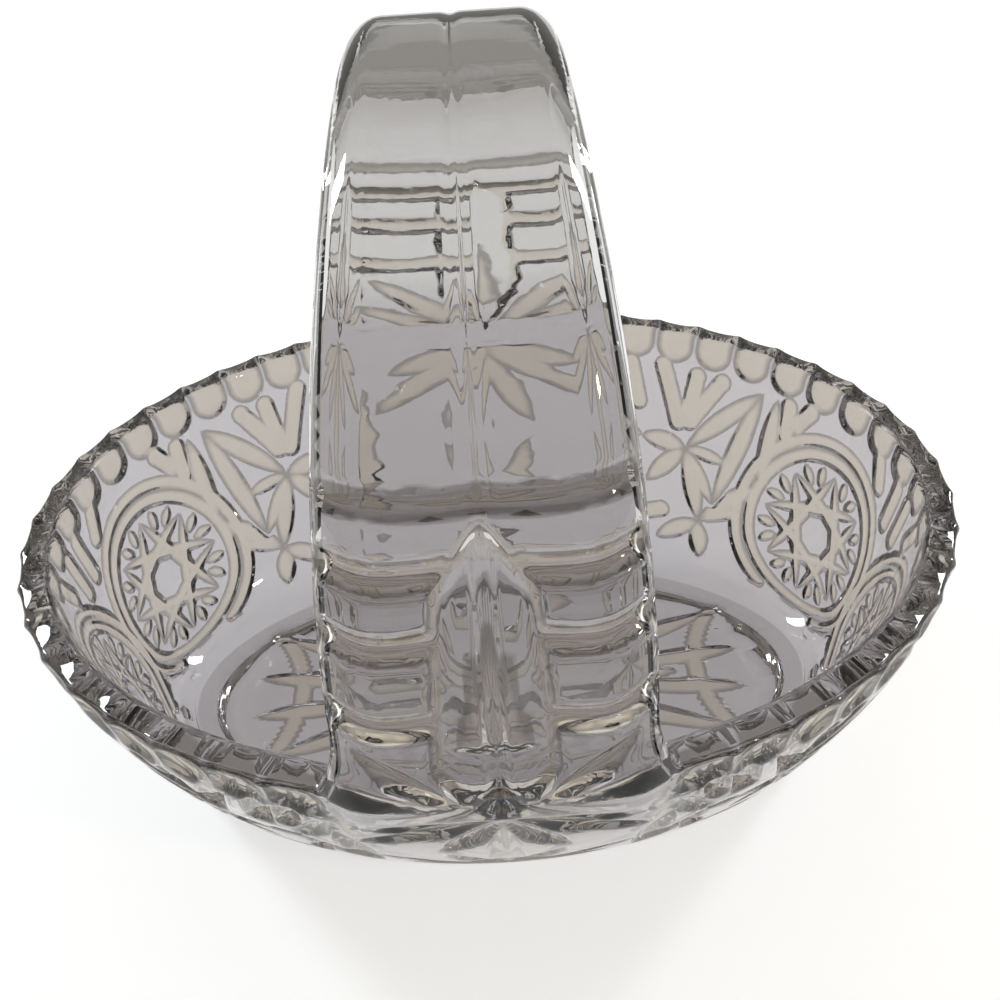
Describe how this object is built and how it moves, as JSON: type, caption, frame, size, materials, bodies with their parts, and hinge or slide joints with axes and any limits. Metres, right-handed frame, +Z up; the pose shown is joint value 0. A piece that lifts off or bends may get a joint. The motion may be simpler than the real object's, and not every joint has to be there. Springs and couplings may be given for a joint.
{
  "type": "glass basket",
  "caption": "Oval clear glass basket pressed in one piece, with a fluted rim, a broad strap handle across its width, a cut pattern outside and a foot ring to stand on.",
  "frame": {"origin": "middle of the underside, on the surface that the foot ring rests on", "axes": "+Z up, +X along the long way of the oval, +Y across it, in the plane of the handle's arch"},
  "size_m": [0.19, 0.1518, 0.158],
  "materials": {
    "clear_glass": "clear pressed glass, fire polished, with soft edges on the cuts"
  },
  "bodies": {
    "root": {"glass_basket": "clear_glass"}
  },
  "joints": []
}
